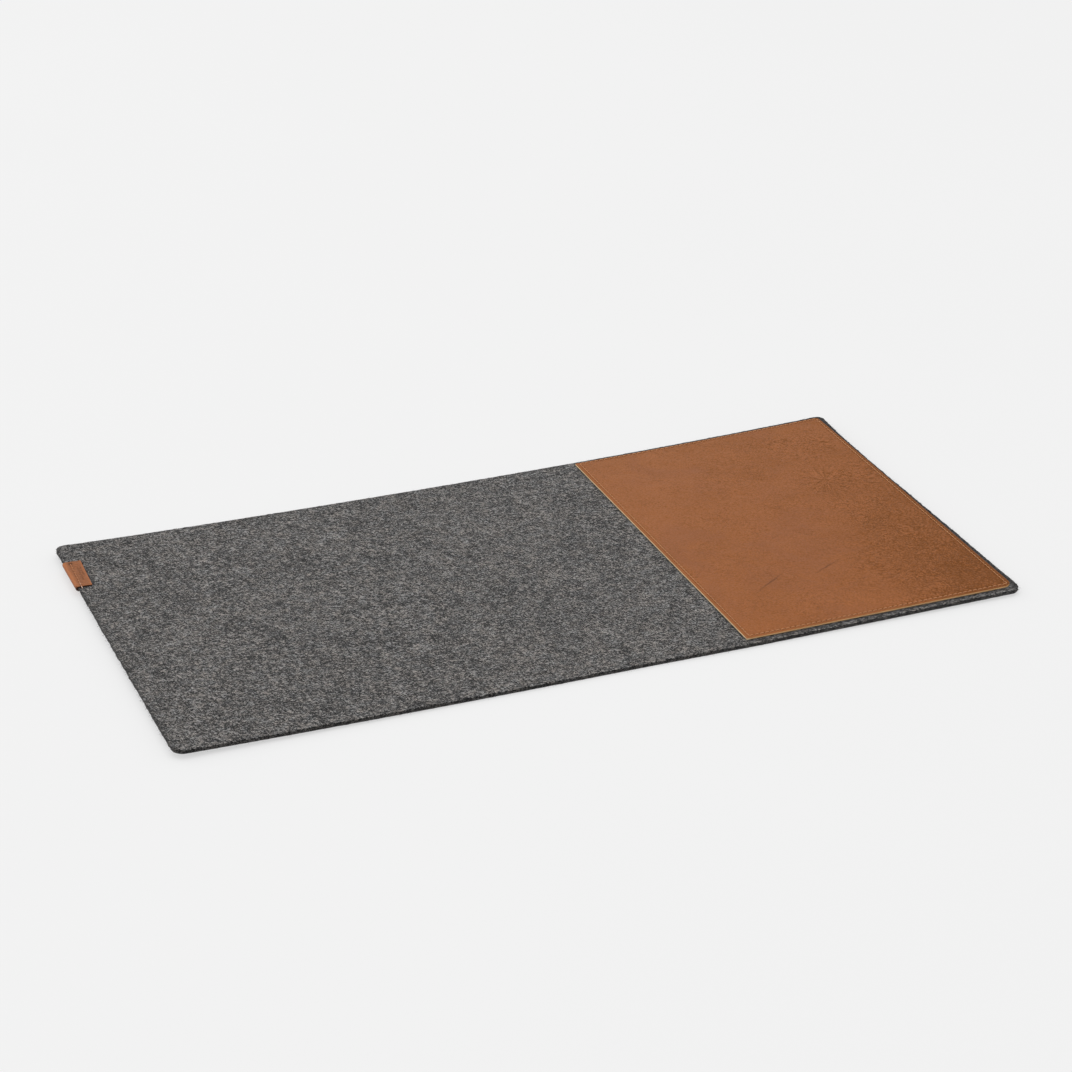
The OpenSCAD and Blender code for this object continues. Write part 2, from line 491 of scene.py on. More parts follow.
def felt_material():
    """Mottled grey wool felt: clumps, strands and hairs, with light and dark curls."""
    n = Nodes("felt_wool")
    along = n.turned(4, (0.8, 1.15, 1.0))
    clumps = n.noise(150.0, detail=3.0, roughness=0.6, distortion=0.4)
    cloud = n.noise(38.0)
    curls = n.noise(470.0, roughness=0.7, distortion=1.1, place=along)
    tufts = n.noise(1000.0, roughness=0.7, distortion=0.6, place=along)
    strands = n.drawn_out(
        (-20, 10, 42, 78), 5.6 * MM, 1.05 * MM, (7, 0, 2.3), (3.1, 5.7, 0), roughness=0.8, distortion=0.5
    )
    hairs = n.drawn_out(
        (22, 74, 133), 2.6 * MM, 0.22 * MM, (4.7, 0, 9.1), (2.9, 3.3, 0),
        detail=1.0, roughness=0.6, distortion=0.4,
    )
    light = felt_curls(n, 0.06, (8, 52, 97, 141, 170), 4.2 * MM, 1.1 * MM, (0, 0, 0), (3.7, 1.9, 5.3))
    dark = felt_curls(n, 0.07, (27, 78, 120), 3.4 * MM, 1.0 * MM, (20, 11, 0), (2.3, 4.1, 1.7))

    layers = [(clumps, 0.30), (cloud, 0.17), (curls, 0.65), (tufts, 1.95)]
    layers += [(strand, 0.84) for strand in strands]
    layers += [(hair, 0.62) for hair in hairs]
    level = n.total(*(n.swing(layer, -reach, reach) for layer, reach in layers))
    level = n.minus(n.total(level, n.times(light, 0.42)), n.times(dark, 0.74))
    height = n.total(n.times(light, 0.5), n.remap(tufts, 0.2, 0.8), n.times(n.most(*hairs), 0.9))
    height = n.minus(height, n.times(dark, 0.25))
    n.surface({
        "Base Color": felt_colour(n, n.remap(level, -1.1, 1.3)),
        "Roughness": n.swing(tufts, 0.98, 0.86),
        "Specular IOR Level": 0.12,
        "Sheen Weight": 0.12,
        "Sheen Roughness": 0.55,
        "Normal": n.bump(height, 0.35 * MM, 0.7),
    })
    return n.material


def fibre_material():
    """Single loose wool fibres, from dark to light grey by their own painted shade."""
    n = Nodes("loose_wool")
    n.surface({
        "Base Color": n.mix(n.attribute("shade"), (0.03, 0.03, 0.03), (0.42, 0.41, 0.38)),
        "Roughness": n.swing(n.noise(900.0), 0.7, 0.9),
        "Specular IOR Level": 0.2,
    })
    return n.material


# ---------- leather material

DARK_MARK = (0.060, 0.020, 0.008)  # the scratches' own dark colour, also painted shade in needle holes and the tag's fold hollow


def leather_folds(n):
    """Three kinds of relief, each strongest in its lines: grain, creases and wrinkles."""
    drift = n.warped(26.0, 0.022)
    cells = {"Vector": n.turned(38, (0.66, 1.25, 1.0), place=drift), "Scale": 640.0, "Randomness": 1.0}
    to_edge = n.add("ShaderNodeTexVoronoi", cells, feature="DISTANCE_TO_EDGE").outputs["Distance"]
    grain = n.remap(to_edge, 0.0, 0.20, 1.0, 0.0, smoothed=True)
    strokes = n.turned(38, (0.55, 1.3, 1.0), place=drift)
    swirl = n.noise(400.0, detail=2.5, roughness=0.6, distortion=0.8, place=strokes)
    wrinkled = n.remap(n.noise(34.0), 0.36, 0.66, 0.25, 1.0, smoothed=True)
    wrinkle = n.times(n.minus(n.level_lines(swirl, 0.07), 0.3), wrinkled)
    streaks = n.noise(1.0, distortion=0.5, place=n.turned(24, (70.0, 480.0, 480.0)))
    creased = n.remap(n.noise(26.0, detail=1.0), 0.46, 0.66, smoothed=True)
    crease = n.times(n.level_lines(streaks, 0.03), creased)
    return grain, crease, wrinkle


def leather_depth(n, patch, fleck, folds, whorl):
    """How dark the leather is, from 0 for its tan to 1 for its deepest brown."""
    grain, crease, wrinkle = folds
    cloud = n.noise(11.0, detail=4.0, roughness=0.6, distortion=0.6)
    depth = n.total(n.swing(cloud, 0.17, 0.27), n.swing(patch, -0.06, 0.06), n.swing(fleck, -0.13, 0.13))
    relief = n.total(n.times(n.minus(grain, 0.35), 0.46), n.times(crease, 0.26), n.times(wrinkle, 0.66))
    strength = n.remap(n.attribute("shade"), 0.0, 0.35, 0.6, 1.35)
    depth = n.total(depth, n.times(relief, strength))
    if whorl is not None:
        depth = n.total(depth, n.times(rays(n, *whorl), 0.55))
    # shade is painted: on the panel darker towards the front right, partly the hide's own tone and
    # partly painted shade, with painted shade on its right rim; on the tag the debossed rules and
    # painted shade away from its edges
    return n.maths("ADD", depth, n.attribute("shade"), clamp=True)


def leather_colour(n, dyes, depth, patch):
    """Tan to brown by depth, greyer in patches, bluer where sheen is painted, rich at the rim, where
    highlights are painted too.
    """
    tan = dyes["tan"]
    colour = n.mix(depth, tan, dyes["deep"])
    greyer = n.noise(15.0, detail=3.0, roughness=0.6, distortion=0.8)
    greyed = n.remap(greyer, 0.48, 0.68, 0.0, 0.40, smoothed=True)
    greyed = n.times(greyed, n.remap(n.attribute("shade"), 0.06, 0.20, 1.0, 0.0))
    colour = n.mix(greyed, colour, tuple(t * c for t, c in zip(tan, (0.74, 0.76, 0.95))))
    # painted sheen: paler and bluer towards the back, as if the leather reflected the white room
    colour = n.mix(n.attribute("cooler"), colour, (0.99, 1.07, 1.28), blend="MULTIPLY")
    rim = n.mix(n.swing(patch), *dyes["rim"])
    # the rim's own richer tone, and a painted highlight where the rim is painted light: the panel's left
    # rim, the tag's fold and end
    return n.mix(n.times(n.attribute("rim"), 0.8), colour, rim)


def raw_edge(n, raw):
    """The pale layers of a cut edge, darker where shade is painted on it."""
    layers = n.noise(1.0, place=n.turned(0, (160.0, 160.0, 2400.0)))
    pale = n.mix(n.remap(layers, 0.35, 0.65), raw, tuple(0.78 * c for c in raw))
    # painted shade: on the panel, on every raw edge but the left one
    return n.mix(n.attribute("soiled"), pale, (0.80, 0.64, 0.50), blend="MULTIPLY")


def leather_material(name, dyes, marks=(), whorl=None):
    """Full-grain vegetable-tanned leather: clouded colour, pebbled grain with fine
    creases, a more saturated rim and a raw cut edge."""
    n = Nodes(name)
    patch = n.noise(42.0, detail=3.0, roughness=0.55, distortion=0.4)
    fleck = n.noise(600.0, detail=3.0, roughness=0.6)
    folds = leather_folds(n)
    colour = leather_colour(n, dyes, leather_depth(n, patch, fleck, folds, whorl), patch)
    for across, back, *shape in marks:
        x, y = PANEL[0][:2] + (across, back) * (PANEL[1][:2] - PANEL[0][:2])
        colour = n.mix(scratch(n, x, y, *shape), colour, DARK_MARK)
    # painted shade in the needle holes and in the hollow of the tag's fold
    colour = n.mix(n.attribute("hole"), colour, DARK_MARK)
    colour = n.mix(n.attribute("cut"), colour, raw_edge(n, dyes["raw"]))
    rough = n.maths("ADD", n.swing(fleck, 0.44, 0.56), n.times(n.attribute("cut"), 0.4), clamp=True)
    height = n.times(fleck, 0.35)
    for fold, share in zip(folds, (1.6, 1.4, 1.8)):
        height = n.minus(height, n.times(fold, share))
    swell = n.noise(95.0, detail=3.0)
    normal = n.bump(swell, 0.5 * MM, 0.5, normal=n.bump(height, 0.07 * MM, 0.7))
    n.surface({"Base Color": colour, "Roughness": rough, "Specular IOR Level": 0.10, "Normal": normal})
    return n.material


def beside(n, x, y, angle=0.0):
    """The place's X and Y counted from x, y along axes turned by an angle."""
    inputs = {"Vector": n.place, "Location": (x, y, 0.0), "Rotation": (0.0, 0.0, math.radians(angle))}
    there = n.add("ShaderNodeMapping", inputs, vector_type="TEXTURE").outputs[0]
    parts = n.add("ShaderNodeSeparateXYZ", {0: there})
    return parts.outputs[0], parts.outputs[1]


def rays(n, x, y, size):
    """Fine wrinkles that fan out from a point in the leather, dark and light about zero."""
    right, back = beside(n, x, y)
    square = n.total(n.times(right, right), n.times(back, back))
    out = n.maths("SQRT", n.total(square, MM**2))  # never quite zero, as it divides below
    fan = n.add("ShaderNodeCombineXYZ", {
        0: n.times(n.maths("DIVIDE", right, out), 6.5),
        1: n.times(n.maths("DIVIDE", back, out), 6.5),
        2: n.times(out, 30.0),
    })
    level = n.noise(1.0, roughness=0.6, distortion=0.3, place=fan.outputs[0])
    line = n.level_lines(level, 0.12, 0.55, -0.45)
    fade = n.times(n.remap(out, 0, 0.2 * size), n.remap(out, 0.2 * size, size, 1.0, 0.0))
    return n.times(line, fade)


def scratch(n, x, y, angle, length, width, strength):
    """A thin dark mark in the leather, centred at x, y."""
    ahead, aside = beside(n, x, y, angle)
    along = n.remap(n.maths("ABSOLUTE", ahead), 0.0, length / 2, 1.0, 0.0)
    bend = n.swing(n.noise(90.0, detail=1.0), -0.5 * width, 0.5 * width)
    off = n.maths("ABSOLUTE", n.total(aside, bend))
    across = n.remap(off, 0.0, width, 1.0, 0.0, smoothed=True)
    return n.times(n.times(along, across), strength)


# ---------- thread material

def thread_material(name, light, dark):
    """Twisted sewing thread: plies shaded along the twist, a slight gloss."""
    n = Nodes(name)
    lint = n.noise(2600.0)
    lit = n.total(n.times(n.attribute("ply"), 0.7), n.swing(lint, 0.0, 0.3))
    n.surface({
        # painted highlight on the tag's last stitches
        "Base Color": n.mix(n.attribute("frayed"), n.mix(lit, dark, light), (0.80, 0.60, 0.50)),
        "Roughness": n.swing(lint, 0.58, 0.74),
        "Specular IOR Level": 0.25,
        "Normal": n.bump(lint, 0.03 * MM, 0.5),
    })
    return n.material


# ---------- the felt sheet

NIP_LOW = TAG[0][2] + 1.2 * MM   # the tag's lower flap fills the felt up to here
NIP_HIGH = TAG[1][2] - 1.2 * MM  # and its upper flap down to here
NIP_SOFT = 2.2 * MM              # how far from the tag the felt takes to recover


def nip(x, y):
    """1 where the tag's flaps squeeze the felt, falling to 0 around them."""
    beyond_x = np.maximum(x - TAG[1][0], 0)
    beyond_y = np.maximum(np.maximum(y - TAG[1][1], TAG[0][1] - y), 0)
    return 1 - smooth(0, NIP_SOFT, np.hypot(beyond_x, beyond_y))


def felt_top(x, y):
    lumps = 0.5 + 0.25 * ripple(x, y, 7 * MM, 1) + 0.2 * ripple(x, y, 17 * MM, 2)
    z = FELT_TOP - 0.10 * MM * np.clip(lumps, 0, 1.4)
    return z + (NIP_HIGH - 0.02 * MM - z) * nip(x, y)


def felt_bottom(x, y):
    lumps = 0.5 + 0.25 * ripple(x, y, 8 * MM, 3)
    z = FELT[0][2] + 0.10 * MM * np.clip(lumps, 0, 1.4)
    z = z + 0.72 * MM * bell(to_seam(x, y), 0.75 * MM)
    return z + (NIP_LOW + 0.02 * MM - z) * nip(x, y)


def felt_lines(axis, fine):
    """The felt's grid lines along an axis, finer at its edges, its corners and the seam."""
    low, high = FELT[0][axis], FELT[1][axis]
    rim = FELT_WALL[0][0] * MM
    beside_seam = np.array([-1.6, -0.8, -0.35, 0, 0.35, 0.8, 1.6]) * MM
    beside_edge = np.array([0.45, 1.2, 2.0, 3.0, 4.4]) * MM
    low_corner = FELT_CORNER - np.array([0, 1.2, 2.6, 4.2, 6.0]) * MM
    high_corner = FELT_CORNER - np.array([0, 1.2, 2.6]) * MM
    fine = fine + near([SEAM_LOW[axis], SEAM_HIGH[axis]], beside_seam)
    fine += [*(low + beside_edge), *(high - beside_edge), *(low + low_corner), *(high - high_corner)]
    return lines(low + rim, high - rim, 2.4 * MM, fine)


def ragged(points, on_wall):
    """The felt's points with its cut wall uneven, a little in and out."""
    x, y, z = points.T
    wobble = 0.15 * MM * ripple(x, y + 3 * z, 3.2 * MM, 4)
    wobble += 0.10 * MM * ripple(x + 2 * z, y, 1.7 * MM, 5)
    low, high = FELT[0][:2], FELT[1][:2]
    from_middle = points[:, :2] - (low + high) / 2
    share = np.abs(from_middle) / (high - low)
    at_end = share[:, :1] > share[:, 1:]
    direction = np.sign(from_middle) * np.where(at_end, (1, 0), (0, 1))
    points[on_wall, :2] += (direction * wobble[:, None])[on_wall]
    return points


def paint_felt(piece, points, place, on_wall):
    """Where the felt is cut, with painted shade on its walls, and where it is darker: along its edges,
    and with painted shadow beside what is sewn on it and beyond the leather, where the cut is close."""
    x, y, z = points.T
    low, high = FELT[0][:2], FELT[1][:2]
    panel_low, panel_high = PANEL[0][:2], PANEL[1][:2]
    on_top = z > (FELT[0][2] + FELT_TOP) / 2
    # the strips beyond the leather's right and back edges, where painted shadow of its overhang goes
    beyond_right = smooth(panel_high[0] - 2 * MM, panel_high[0] + 0.5 * MM, x)
    beyond_back = smooth(panel_high[1] - 3 * MM, panel_high[1], y) * (x > panel_low[0])
    cut = np.where(on_wall, smooth(0.0, 0.13, place), 0.0)

    to_edge = np.minimum(np.minimum(x - low[0], high[0] - x), high[1] - y)  # all but the front
    edge = bell(np.maximum(to_edge, 0), 2.6 * MM)
    # painted contact shadow beside the leather, deeper in front of it, and beside the tag
    beside = bell(np.maximum(-rectangle_depth(x, y, panel_low, panel_high), 0), 0.9 * MM)
    in_front = bell(np.maximum(panel_low[1] - y, 0), 1.7 * MM) * (x > panel_low[0]) * (y < panel_low[1])
    beside_panel = np.maximum(beside, 1.25 * in_front)
    beside_tag = bell(np.maximum(x - TAG[1][0], 0), 1.6 * MM) * (nip(TAG[0][0] + 0 * x, y) > 0.5)
    # all of this is painted shadow
    painted_felt_shadow = 0.7 * beside_panel + np.maximum(beyond_right, 0.8 * beyond_back) + 0.6 * beside_tag
    paint(
        piece,
        # painted shadow of the leather's overhang on the strip beyond its right edge; the walls'
        # darkening is partly painted shade
        cut=np.maximum(cut, 0.45 * beyond_right * on_top),
        worn=np.clip(0.48 * edge * (1 - cut) + painted_felt_shadow * on_top, 0, 1),
    )


def build_felt(material):
    beside_panel = PANEL[0][0] - np.array([0.2, 0.9, 1.7]) * MM
    beside_tag = near([TAG[1][0]], np.array([-0.6, 0, 0.8, 1.6]) * MM)
    across_tag = near([TAG[0][1], TAG[1][1]], np.array([-1.6, -0.8, 0, 0.6]) * MM)
    points, faces, place = closed_sheet(
        felt_lines(0, [*beside_panel, *beside_tag]), felt_lines(1, across_tag),
        FELT[0][:2], FELT[1][:2], [FELT_CORNER, FELT_CORNER, BACK_CORNER, BACK_CORNER],
        FELT_WALL, felt_top, felt_bottom,
    )
    on_wall = (place > 0) & (place < 1)
    points = ragged(points, on_wall)
    piece = make_piece("felt_sheet", stretched(points), faces)
    paint_felt(piece, points, place, on_wall)
    finish_piece(piece, material, "felt_mat")
    return piece


# ---------- the felt's loose fibres

EDGE_FIBRES = 5200
TOP_FIBRES = 4400
FIBRE_SIDES = 3
FIBRE_TAPER = np.array([0.35, 1.0, 1.0, 0.3])  # thickness at each ring along a fibre


def fibre_tubes(starts, headings, lengths, lift, radius, curl):
    """Points, faces and fibre numbers of many thin curved hairs, pointed at both ends.
    lift and radius are random ranges in millimetres, curl is a random spread in radians."""
    sides, rings, count = FIBRE_SIDES, len(FIBRE_TAPER), len(starts)
    lifts = rng.uniform(*lift, count) * MM
    radii = rng.uniform(*radius, count) * MM
    curls = rng.normal(0, curl, count)
    t = np.linspace(0, 1, rings)
    angle = headings[:, None] + curls[:, None] * (t - 0.5) ** 2 * 2
    step = lengths[:, None] / (rings - 1)
    x = starts[:, 0:1] + np.cumsum(np.cos(angle) * step, 1)
    y = starts[:, 1:2] + np.cumsum(np.sin(angle) * step, 1)
    z = starts[:, 2:3] + lifts[:, None] * np.sin(math.pi * t)
    around = np.arange(sides) * 2 * math.pi / sides
    thick = (radii[:, None] * FIBRE_TAPER)[..., None]
    across = np.cos(around) * thick
    points = np.stack([
        x[..., None] - np.sin(angle)[..., None] * across,
        y[..., None] + np.cos(angle)[..., None] * across,
        z[..., None] + np.sin(around) * thick,
    ], -1).reshape(-1, 3)
    first = np.arange(count)[:, None] * rings * sides
    faces = [face for one in tube_faces(rings, sides) for face in (first + one).tolist()]
    return points, faces, np.repeat(np.arange(count), rings * sides)


def on_outline(count, low, high, radius):
    """Random points on a rounded rectangle with their outward directions."""
    inner_low, inner_high = low + radius, high - radius
    span = inner_high - inner_low
    straight = 2 * (span[0] + span[1])
    s = rng.uniform(0, straight + 2 * math.pi * radius, count)
    xy = np.zeros((count, 2))
    out = np.zeros((count, 2))
    steps = np.array([(1, 0), (0, 1), (-1, 0), (0, -1)])
    passed = 0.0
    for side, (along, normal) in enumerate(zip(steps, np.roll(steps, 1, 0))):
        here = (s >= passed) & (s < passed + span[side % 2])
        start = np.where(along > normal, inner_low, inner_high) + radius * normal
        xy[here] = start + (s[here] - passed)[:, None] * along
        out[here] = normal
        passed += span[side % 2]
    here = s >= straight
    angle = (s[here] - straight) / radius
    out[here] = np.column_stack([np.cos(angle), np.sin(angle)])
    xy[here] = np.where(out[here] > 0, inner_high, inner_low) + radius * out[here]
    return xy, out


def clear_of_tag(x, y, gap):
    """Whether points of the mat are further from the tag than a gap."""
    return (x > TAG[1][0] + gap) | (y < TAG[0][1] - gap) | (y > TAG[1][1] + gap)


def edge_fibres():
    """Short hairs that stick out of the cut edge."""
    xy, out = on_outline(EDGE_FIBRES, FELT[0][:2], FELT[1][:2], FELT_CORNER)
    height = rng.uniform(0.35, 2.8, EDGE_FIBRES) * MM
    free = clear_of_tag(*xy.T, 1 * MM)
    xy, out, height = xy[free], out[free], height[free]
    count = len(xy)
    length = rng.uniform(0.7, 2.4, count) * MM
    heading = np.arctan2(out[:, 1], out[:, 0]) + rng.normal(0, 0.85, count)
    start = np.column_stack([xy - out * 0.35 * MM, height])
    return fibre_tubes(start, heading, length, (-0.28, 0.28), (0.022, 0.036), 2.2)


def top_fibres():
    """Longer hairs that lie on the clear felt."""
    x = rng.uniform(FELT[0][0] + 3 * MM, PANEL[0][0] - 6 * MM, TOP_FIBRES)
    y = rng.uniform(FELT[0][1] + 3 * MM, FELT[1][1] - 6 * MM, TOP_FIBRES)
    free = clear_of_tag(x, y, 7 * MM)
    x, y = x[free], y[free]
    count = len(x)
    start = np.column_stack([x, y, felt_top(x, y) + 0.01 * MM])
    heading = rng.uniform(0, 2 * math.pi, count)
    length = rng.uniform(2.0, 5.0, count) * MM
    return fibre_tubes(start, heading, length, (0.03, 0.16), (0.025, 0.042), 1.8)


def build_fuzz(material):
    """The felt's loose fibres as one piece, each fibre with its own shade of grey."""
    *edge, edge_fibre = edge_fibres()
    *top, top_fibre = top_fibres()
    edge_shade = rng.uniform(0.0, 0.45, edge_fibre[-1] + 1)[edge_fibre]
    top_shade = rng.beta(1.3, 1.6, top_fibre[-1] + 1)[top_fibre]
    points, faces, shade = joined([(*edge, edge_shade), (*top, top_shade)])
    piece = make_piece("felt_fuzz", stretched(points), faces)
    paint(piece, shade=shade)
    finish_piece(piece, material, "felt_mat")
    return piece


# ---------- the leather panel

def to_nearest_hole(x, y):
    """Distance to the nearest needle hole of the panel's seam."""
    best = np.full(np.broadcast(x, y).shape, 1.0)
    for axis, along, across in ((0, x, y), (1, y, x)):
        step = np.round((along - SEAM_LOW[axis]) / PITCH[axis])
        hole = SEAM_LOW[axis] + np.clip(step, 0, STITCHES[axis]) * PITCH[axis]
        for side in (SEAM_LOW[1 - axis], SEAM_HIGH[1 - axis]):
            best = np.minimum(best, np.hypot(along - hole, across - side))
    return best


def panel_top(x, y):
    """The grain side: a soft rim, a furrow under the seam with a pit at each hole, and
    very slight swells inside."""
    depth = rectangle_depth(x, y, PANEL[0][:2], PANEL[1][:2])
    seam = to_seam(x, y)
    z = np.full(np.broadcast(x, y).shape, PANEL_TOP)
    z = z - 0.20 * MM * bell(depth, 0.8 * MM)
    z = z - 0.20 * MM * bell(seam, 0.62 * MM) - 0.10 * MM * bell(seam, 2.2 * MM)
    z = z - 0.50 * MM * bell(to_nearest_hole(x, y), 0.62 * MM)
    inside = smooth(3 * MM, 14 * MM, depth)
    swell = 0.05 * ripple(x, y, 22 * MM, 11) + 0.03 * ripple(x, y, 9 * MM, 12)
    return z + inside * swell * MM


def panel_bottom(x, y):
    """The flesh side, just clear of the felt."""
    return np.full(np.broadcast(x, y).shape, FELT_TOP + 0.01 * MM)


def trimmed(points):
    """The panel's points with its back edge, and its right edge towards the back, cut a
    little closer to its seam."""
    points = np.array(points)
    u = (points[:, 0] - SEAM_HIGH[0]) / (PANEL[1][0] - SEAM_HIGH[0])
    v = (points[:, 1] - SEAM_HIGH[1]) / (PANEL[1][1] - SEAM_HIGH[1])
    back = np.clip(points[:, 1] / PANEL[1][1], 0, 1) ** 2
    points[:, 0] -= TRIM_RIGHT * np.clip(u, 0, 1) * back
    points[:, 1] -= TRIM_BACK * np.clip(v, 0, 1)
    return points


def stitch_lines(axis, coarse):
    """The panel's grid lines along an axis, which follow the stitches of the seams that
    run that way and are finer beside the seams that cross them."""
    rim = PANEL_WALL[0][0] * MM
    low, high = PANEL[0][axis] + rim, PANEL[1][axis] - rim
    pitch = PITCH[axis]
    holes = SEAM_LOW[axis] + np.arange(STITCHES[axis] + 1) * pitch
    inner = near(holes[:-1], (0, 0.5 * MM, pitch / 2, pitch - 0.5 * MM))
    offsets = np.array([-2.2, -1.6, -1, -0.55, -0.25, 0.25, 1.0]) * MM
    beside = near([SEAM_LOW[axis], SEAM_HIGH[axis]], offsets)
    ends = [low + 0.3 * MM, high - 0.3 * MM]
    return padded_lines(spaced(low, high, [*inner, holes[-1], *beside, *ends], 0.15 * MM), coarse)


def paint_panel(piece, points, place):
    """Where the panel is cut and pierced, with painted shade in its holes, its rim's tone with a painted
    highlight on the left, darker to the front right (partly painted shade), painted shade on the right
    rim, painted sheen at the back, and painted shade on its raw edges but the left.
    """
    x, y = points[:, :2].T
    across = (x - PANEL[0][0]) / (PANEL[1][0] - PANEL[0][0])
    front = 1 - (y - PANEL[0][1]) / (PANEL[1][1] - PANEL[0][1])
    cut = smooth(0.03, 0.14, place)
    rim = (1 - smooth(-0.9 * MM, 0.4 * MM, rectangle_depth(x, y, SEAM_LOW, SEAM_HIGH))) * (1 - cut)
    # painted shade on the right rim
    right_rim = rim * smooth(0.97, 0.985, across)
    paint(
        piece,
        # painted shade on every raw edge but the left one, which faces the light
        soiled=smooth(0.001, 0.02, across),
        # painted shade in the needle holes
        hole=0.9 * bell(to_nearest_hole(x, y), 0.65 * MM),
        cut=cut,
        # the band outside the seam: its own richer tone all round, and a painted highlight on the left,
        # where light falls
        rim=rim * (1 - 0.75 * smooth(0.0, 0.03, across)),
        # darker towards the right and the front right, partly the hide's own tone and partly painted
        # shade; painted shade on the right rim
        shade=0.13 * across + 0.54 * smooth(0.5, 1.0, across) * front**2 + 0.45 * right_rim,
        # painted sheen, strongest at the back left
        cooler=(1 - front) * (1 - 0.4 * across),
    )


def build_panel(material):
    coarse = 4
    points, faces, place = closed_sheet(
        stitch_lines(0, coarse), stitch_lines(1, coarse), PANEL[0][:2], PANEL[1][:2],
        [SQUARE_CORNER, PANEL_FRONT_CORNER, PANEL_CORNER, SQUARE_CORNER],
        PANEL_WALL, panel_top, panel_bottom, coarse,
    )
    piece = make_piece("leather_panel_sheet", trimmed(points), faces)
    paint_panel(piece, points, place)
    finish_piece(piece, material, "leather_panel")
    return piece


# ---------- threads

PLY_TURN = 2.4 * MM          # length of thread in which the plies turn once
BENT_IN = 0.42 * MM          # how far a stitch's legs stand inside its pitch
UNDER_FURROW = BOBBIN[0][2] + 0.42 * MM  # height of the felt's underside at the stitches
UNDER_DEPTH = 0.7 * MM       # how far the under stitches' ends go up into it


def stitch_path(start, heading, pitch, surface, below, rise, slant, rings):
    """A stitch's centre line, out of its hole, over the surface and down the next hole."""
    angle = np.linspace(math.pi, 0, rings)
    c, s = np.cos(angle), np.sin(angle)
    along = pitch / 2 + (pitch / 2 - BENT_IN) * np.sign(c) * np.abs(c) ** 0.85
    up = surface - below + (below + rise) * np.abs(s) ** 0.5
    forward = np.array([math.cos(heading), math.sin(heading), 0])
    left = np.array([-forward[1], forward[0], 0])
    side = slant * (along - pitch / 2)
    path = np.array(start) + along[:, None] * forward + side[:, None] * left
    return path + np.outer(up, [0, 0, 1]), left


def twisted_tube(path, left, radius, sides, phase):
    """A thread of plies round a path: its points, its faces, and how far out on a ply
    each point is, from 0 between two plies to 1 on top of one."""
    tangent = unit(np.gradient(path, axis=0))
    across = unit(left - (tangent @ left)[:, None] * tangent)
    over = np.cross(tangent, across)
    walked = np.concatenate([[0], np.cumsum(np.linalg.norm(np.diff(path, axis=0), axis=1))])
    around = np.arange(sides) * 2 * math.pi / sides
    twist = around - walked[:, None] / PLY_TURN * 2 * math.pi + phase
    ply = 0.5 + 0.5 * np.cos(2 * twist)
    thick = radius * (0.84 + 0.20 * ply)
    points = path[:, None] + (np.cos(around) * thick)[..., None] * across[:, None]
    points = points + (np.sin(around) * thick)[..., None] * over[:, None]
    return points.reshape(-1, 3), tube_faces(len(path), sides), ply.ravel()


def build_stitches(name, rows, material, node, under=False):
    """A seam's stitches as one piece. Each row gives a stitch's x, y, heading, pitch, the
    height of the surface it lies on, and how far its ends go into that surface. Stitches
    under the mat are built as if it lay face down, a little plainer, and turned over."""
    sides, rings = (8, 13) if under else (10, 19)
    stitches = []
    for x, y, heading, pitch, surface, below in rows:
        rise = rng.uniform(0.10, 0.17) * MM
        radius = THREAD_RADIUS * rng.uniform(0.90, 1.0)
        slant = 0.07 + rng.normal(0, 0.012)
        path, left = stitch_path((x, y, 0), heading, pitch, surface, below, rise, slant, rings)
        stitches.append(twisted_tube(path, left, radius, sides, rng.uniform(0, 2 * math.pi)))
    points, faces, ply = joined(stitches)
    if under:
        points[:, 2] = -points[:, 2]
        faces = [face[::-1] for face in faces]
    piece = make_piece(name, points, faces)
    # painted highlight on the tag's stitches towards its front end
    by_front_end = 1 - smooth(TAG[0][1] - 1 * MM, TAG[0][1] + 6 * MM, points[:, 1])
    frayed = 0.75 * by_front_end * (points[:, 0] < TAG[1][0])
    paint(piece, ply=ply, frayed=frayed)
    finish_piece(piece, material, node)
    return piece


def build_seam(part, material, top_rows, under_rows):
    """The top and the under thread of a seam, which is named after the part it sews."""
    return [
        build_stitches(part + "_top_stitches", top_rows, material, part + "_needle_thread"),
        build_stitches(part + "_under_stitches", under_rows, material, part + "_bobbin_thread",
                       under=True),
    ]


def seam_rows(surface, below):
    """Every stitch of the panel's seam, anticlockwise from its front-left corner."""
    corners = [SEAM_LOW, (SEAM_HIGH[0], SEAM_LOW[1]), SEAM_HIGH, (SEAM_LOW[0], SEAM_HIGH[1])]
    rows = []
    for side, corner in enumerate(corners):
        heading, axis = side * math.pi / 2, side % 2
        for i in range(STITCHES[axis]):
            x = corner[0] + math.cos(heading) * i * PITCH[axis]
            y = corner[1] + math.sin(heading) * i * PITCH[axis]
            rows.append((x, y, heading, PITCH[axis], surface, below))
    return rows


# ---------- the tag

TAG_THICK = 1.2 * MM
TAG_X = FELT[0][0]                                 # the fold's axis is over the felt's edge
TAG_Z = (TAG[0][2] + TAG[1][2]) / 2
TAG_MID = (TAG[1][2] - TAG[0][2] - TAG_THICK) / 2  # radius of the middle of the leather
TAG_FLAP = TAG[1][0] - TAG_X
TAG_ARC = math.pi * TAG_MID
TAG_CUT = 2 * TAG_FLAP + TAG_ARC                   # length of the strip before folding
TAG_HOLES = 10
TAG_FIRST = TAG_THREAD[1][1] - THREAD_RADIUS
TAG_LAST = TAG_THREAD[0][1] + THREAD_RADIUS
TAG_PITCH = (TAG_FIRST - TAG_LAST) / (TAG_HOLES - 1)
TAG_SEAM_X = (TAG_THREAD[0][0] + TAG_THREAD[1][0]) / 2
TAG_SEAM_U = TAG_FLAP + TAG_ARC + TAG_SEAM_X - TAG_X  # the seam's place on the flat strip
TAG_LOWER_SEAM_U = TAG_CUT - TAG_SEAM_U               # and its place on the lower flap
